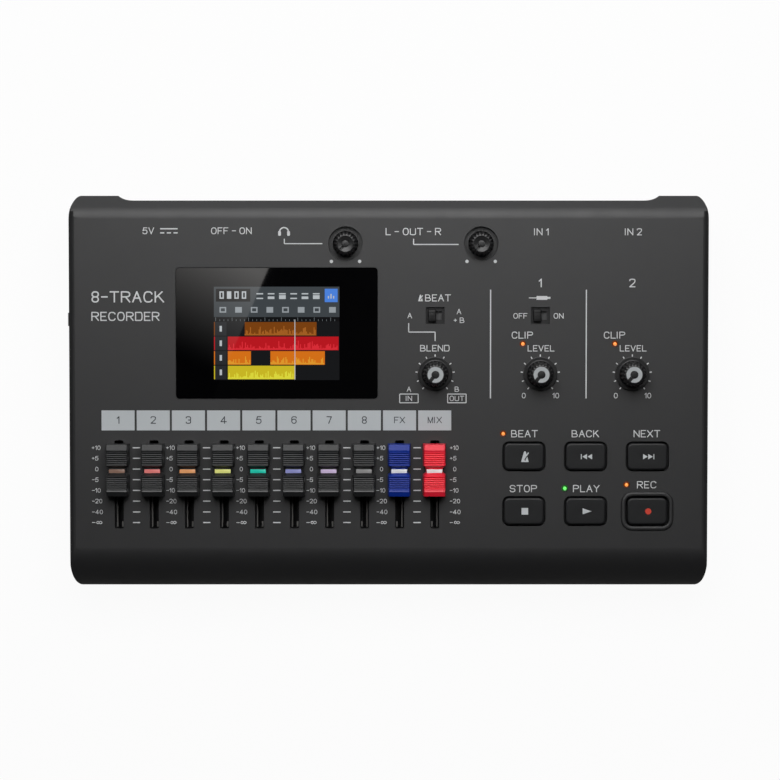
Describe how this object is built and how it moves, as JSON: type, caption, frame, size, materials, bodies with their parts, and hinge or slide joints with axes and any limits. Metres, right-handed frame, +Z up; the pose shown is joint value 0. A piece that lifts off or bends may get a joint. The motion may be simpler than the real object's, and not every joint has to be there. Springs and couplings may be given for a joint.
{
  "type": "multitrack recorder",
  "caption": "Wedge-shaped desktop multitrack recorder with slide faders, turning knobs, sprung transport keys, a display window, rear audio sockets, a battery bay and a card slot.",
  "frame": {"origin": "on the table, under the middle of the case", "axes": "+X to the right along the case, +Y to the rear sockets, +Z up from the table"},
  "size_m": [0.2508, 0.1528, 0.0495],
  "materials": {
    "case_upper": "fine-grained satin",
    "case_lower": "fine-grained satin",
    "socket_plate": "matt powder coat",
    "window": "polished",
    "display_metal": "satin",
    "board": "solder mask",
    "track_metal": "plain",
    "lever_steel": "plain",
    "control_body": "moulded",
    "switch_body": "moulded",
    "socket_plastic": "moulded",
    "nut": "plated",
    "socket_shell": "plated",
    "lamp": "clear moulded",
    "contact": "nickel-plated",
    "cell": "satin sleeve",
    "screw": "zinc-plated",
    "rubber": "matt",
    "flex": "film",
    "ribbon": "moulded",
    "cap_dark": "moulded satin",
    "cap_blue": "moulded satin",
    "cap_red": "moulded satin",
    "knob": "moulded satin",
    "key": "soft satin",
    "thumb": "moulded satin"
  },
  "bodies": {
    "case": {"top_case": "case_upper", "bottom_case": "case_lower", "rear_panel": "socket_plate", "display_window": "window", "lcd_module": "display_metal", "control_board": "board", "main_board": "board", "fader_tracks": "track_metal", "pot_bodies": "control_body", "key_switches": "switch_body", "switch_housings": "switch_body", "combo_jacks": "socket_plastic", "phone_jacks": "socket_plastic", "jack_nuts": "nut", "usb_socket": "socket_shell", "led_lamps": "lamp", "card_socket": "socket_shell", "battery_contacts": "contact", "aa_cells": "cell", "case_screws": "screw", "board_screws": "screw", "rubber_feet": "rubber", "display_flex": "flex", "board_ribbon": "ribbon"},
    "track_fader_1": {"track_fader_cap_1": "cap_dark", "track_fader_lever_1": "lever_steel"},
    "track_fader_2": {"track_fader_cap_2": "cap_dark", "track_fader_lever_2": "lever_steel"},
    "track_fader_3": {"track_fader_cap_3": "cap_dark", "track_fader_lever_3": "lever_steel"},
    "track_fader_4": {"track_fader_cap_4": "cap_dark", "track_fader_lever_4": "lever_steel"},
    "track_fader_5": {"track_fader_cap_5": "cap_dark", "track_fader_lever_5": "lever_steel"},
    "track_fader_6": {"track_fader_cap_6": "cap_dark", "track_fader_lever_6": "lever_steel"},
    "track_fader_7": {"track_fader_cap_7": "cap_dark", "track_fader_lever_7": "lever_steel"},
    "track_fader_8": {"track_fader_cap_8": "cap_dark", "track_fader_lever_8": "lever_steel"},
    "effect_fader": {"effect_fader_cap": "cap_blue", "effect_fader_lever": "lever_steel"},
    "master_fader": {"master_fader_cap": "cap_red", "master_fader_lever": "lever_steel"},
    "phones_knob": {"phones_knob": "knob"},
    "output_knob": {"output_knob": "knob"},
    "balance_knob": {"balance_knob": "knob"},
    "gain_knob_1": {"gain_knob_1": "knob"},
    "gain_knob_2": {"gain_knob_2": "knob"},
    "click_key": {"click_key": "key"},
    "rewind_key": {"rewind_key": "key"},
    "forward_key": {"forward_key": "key"},
    "stop_key": {"stop_key": "key"},
    "play_key": {"play_key": "key"},
    "record_key": {"record_key": "key"},
    "click_switch_lever": {"click_switch_lever": "thumb"},
    "input_switch_lever": {"input_switch_lever": "thumb"},
    "power_switch_lever": {"power_switch_lever": "thumb"},
    "battery_door": {"battery_door": "case_lower"},
    "card_door": {"card_door": "case_upper"}
  },
  "joints": [
    {"name": "track_fader_1_slide", "type": "slide", "parent": "case", "child": "track_fader_1", "axis": [0, 0.9986, 0.0523], "range_m": [-0.021, 0.009]},
    {"name": "track_fader_2_slide", "type": "slide", "parent": "case", "child": "track_fader_2", "axis": [0, 0.9986, 0.0523], "range_m": [-0.021, 0.009]},
    {"name": "track_fader_3_slide", "type": "slide", "parent": "case", "child": "track_fader_3", "axis": [0, 0.9986, 0.0523], "range_m": [-0.021, 0.009]},
    {"name": "track_fader_4_slide", "type": "slide", "parent": "case", "child": "track_fader_4", "axis": [0, 0.9986, 0.0523], "range_m": [-0.021, 0.009]},
    {"name": "track_fader_5_slide", "type": "slide", "parent": "case", "child": "track_fader_5", "axis": [0, 0.9986, 0.0523], "range_m": [-0.021, 0.009]},
    {"name": "track_fader_6_slide", "type": "slide", "parent": "case", "child": "track_fader_6", "axis": [0, 0.9986, 0.0523], "range_m": [-0.021, 0.009]},
    {"name": "track_fader_7_slide", "type": "slide", "parent": "case", "child": "track_fader_7", "axis": [0, 0.9986, 0.0523], "range_m": [-0.021, 0.009]},
    {"name": "track_fader_8_slide", "type": "slide", "parent": "case", "child": "track_fader_8", "axis": [0, 0.9986, 0.0523], "range_m": [-0.021, 0.009]},
    {"name": "effect_fader_slide", "type": "slide", "parent": "case", "child": "effect_fader", "axis": [0, 0.9986, 0.0523], "range_m": [-0.021, 0.009]},
    {"name": "master_fader_slide", "type": "slide", "parent": "case", "child": "master_fader", "axis": [0, 0.9986, 0.0523], "range_m": [-0.021, 0.009]},
    {"name": "phones_knob_turn", "type": "hinge", "parent": "case", "child": "phones_knob", "pos_m": [-0.0168, 0.05762, 0.04152], "axis": [0, 0.0523, -0.9986], "range_deg": [0, 280]},
    {"name": "output_knob_turn", "type": "hinge", "parent": "case", "child": "output_knob", "pos_m": [0.036, 0.05762, 0.04152], "axis": [0, 0.0523, -0.9986], "range_deg": [0, 280]},
    {"name": "balance_knob_turn", "type": "hinge", "parent": "case", "child": "balance_knob", "pos_m": [0.0181, 0.00709, 0.03887], "axis": [0, 0.0523, -0.9986], "range_deg": [0, 280]},
    {"name": "gain_knob_1_turn", "type": "hinge", "parent": "case", "child": "gain_knob_1", "pos_m": [0.0591, 0.00709, 0.03887], "axis": [0, 0.0523, -0.9986], "range_deg": [0, 280]},
    {"name": "gain_knob_2_turn", "type": "hinge", "parent": "case", "child": "gain_knob_2", "pos_m": [0.095, 0.00709, 0.03887], "axis": [0, 0.0523, -0.9986], "range_deg": [0, 280]},
    {"name": "click_key_press", "type": "slide", "parent": "case", "child": "click_key", "axis": [0, 0.0523, -0.9986], "range_m": [0, 0.0008], "stiffness_N_per_m": 800},
    {"name": "rewind_key_press", "type": "slide", "parent": "case", "child": "rewind_key", "axis": [0, 0.0523, -0.9986], "range_m": [0, 0.0008], "stiffness_N_per_m": 800},
    {"name": "forward_key_press", "type": "slide", "parent": "case", "child": "forward_key", "axis": [0, 0.0523, -0.9986], "range_m": [0, 0.0008], "stiffness_N_per_m": 800},
    {"name": "stop_key_press", "type": "slide", "parent": "case", "child": "stop_key", "axis": [0, 0.0523, -0.9986], "range_m": [0, 0.0008], "stiffness_N_per_m": 800},
    {"name": "play_key_press", "type": "slide", "parent": "case", "child": "play_key", "axis": [0, 0.0523, -0.9986], "range_m": [0, 0.0008], "stiffness_N_per_m": 800},
    {"name": "record_key_press", "type": "slide", "parent": "case", "child": "record_key", "axis": [0, 0.0523, -0.9986], "range_m": [0, 0.0008], "stiffness_N_per_m": 800},
    {"name": "click_switch_lever_slide", "type": "slide", "parent": "case", "child": "click_switch_lever", "axis": [1, 0, 0], "range_m": [0, 0.0024]},
    {"name": "input_switch_lever_slide", "type": "slide", "parent": "case", "child": "input_switch_lever", "axis": [1, 0, 0], "range_m": [0, 0.0024]},
    {"name": "power_switch_lever_slide", "type": "slide", "parent": "case", "child": "power_switch_lever", "axis": [1, 0, 0], "range_m": [0, 0.0036]},
    {"name": "battery_door_slide", "type": "slide", "parent": "case", "child": "battery_door", "axis": [0, -1, 0], "range_m": [0, 0.06]},
    {"name": "card_door_hinge", "type": "hinge", "parent": "case", "child": "card_door", "pos_m": [-0.1238, 0.02864, 0.02503], "axis": [0, -0.9986, -0.0523], "range_deg": [0, 90]}
  ]
}
